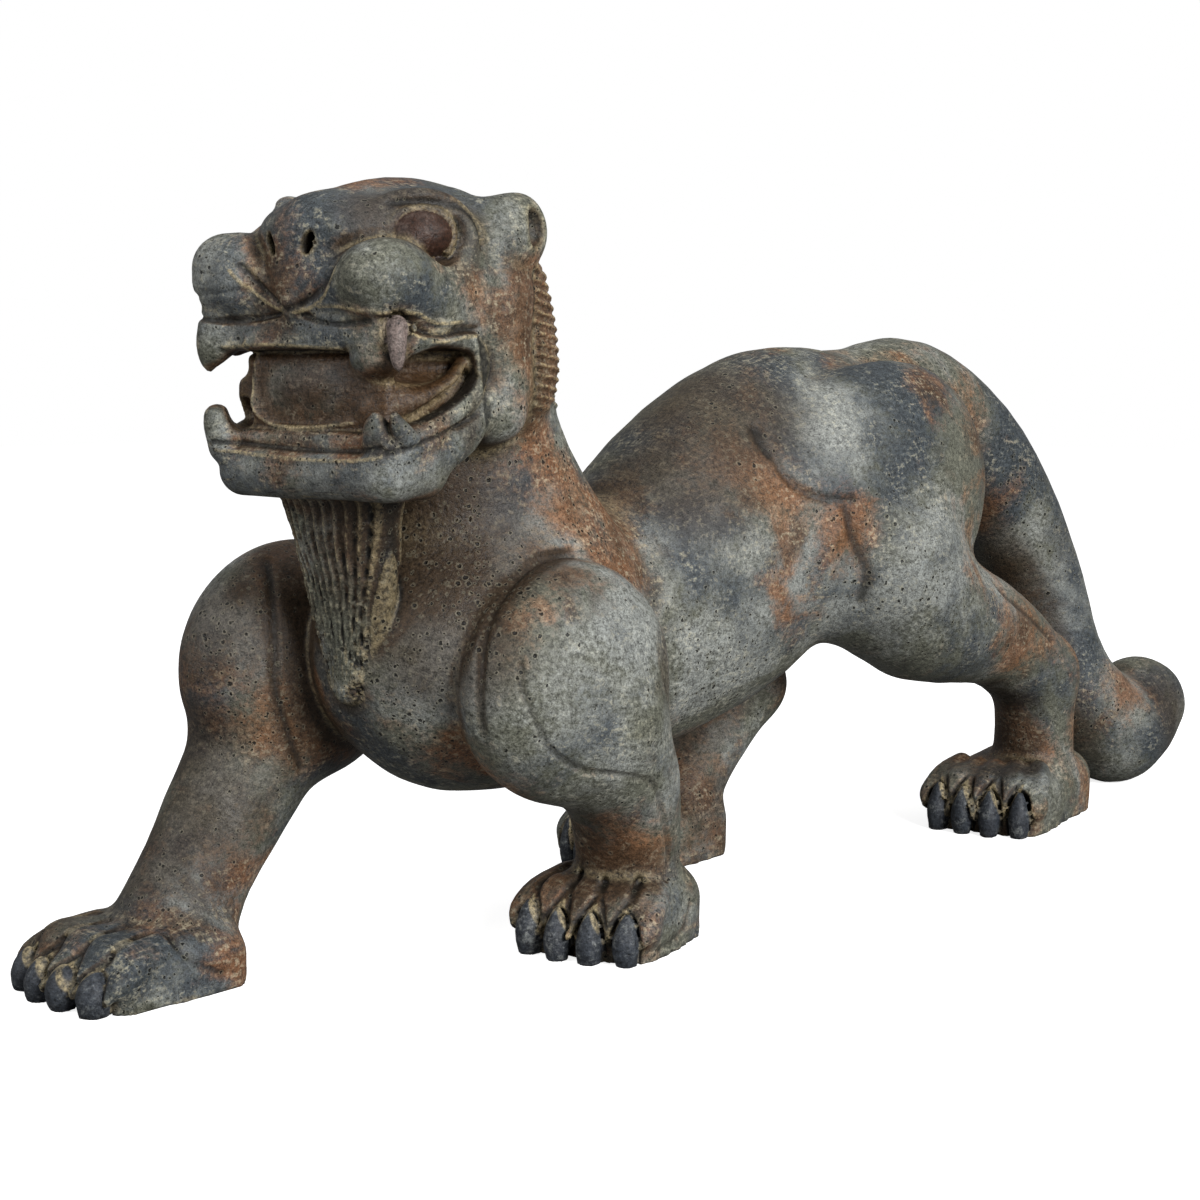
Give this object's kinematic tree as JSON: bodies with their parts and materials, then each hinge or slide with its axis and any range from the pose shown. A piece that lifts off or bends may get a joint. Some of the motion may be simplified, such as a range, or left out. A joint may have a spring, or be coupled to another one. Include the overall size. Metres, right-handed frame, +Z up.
{
  "type": "striding lion figurine",
  "caption": "Striding guardian lion with an open mouth, one hollow cast piece on four clawed paws, its tail curled to the ground.",
  "frame": {"origin": "centre of the bounding box at the height of the soles", "axes": "+Z up, -Y the way the lion walks, +X its left side"},
  "size_m": [0.2368, 0.9185, 0.402],
  "materials": {
    "patinated_clay": "fired clay with a rubbed grey-green and rust-brown patina, semi-matt"
  },
  "bodies": {
    "root": {"lion": "patinated_clay"}
  },
  "joints": []
}
